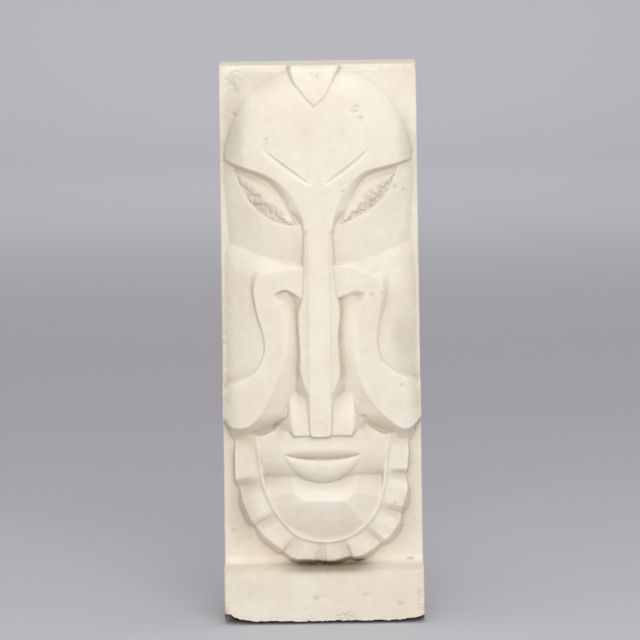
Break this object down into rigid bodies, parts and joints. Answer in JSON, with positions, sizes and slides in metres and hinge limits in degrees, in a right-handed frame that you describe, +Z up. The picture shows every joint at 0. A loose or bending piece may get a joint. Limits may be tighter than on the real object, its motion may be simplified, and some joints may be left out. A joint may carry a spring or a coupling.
{
  "type": "carved stone mask sculpture",
  "caption": "Upright block of pale sandstone with a stylised mask carved in relief on its front, above a plain base that it stands on.",
  "frame": {"origin": "middle of the underside, on the surface the block stands on", "axes": "+Z up, the carved face looks towards -Y, +X to the right as the face is seen"},
  "size_m": [0.202, 0.115, 0.562],
  "materials": {
    "sandstone": "pale cream sandstone, rubbed smooth on the carved faces, with fine grain, small pits and chipped edges"
  },
  "bodies": {
    "root": {"mask_stone": "sandstone"}
  },
  "joints": []
}
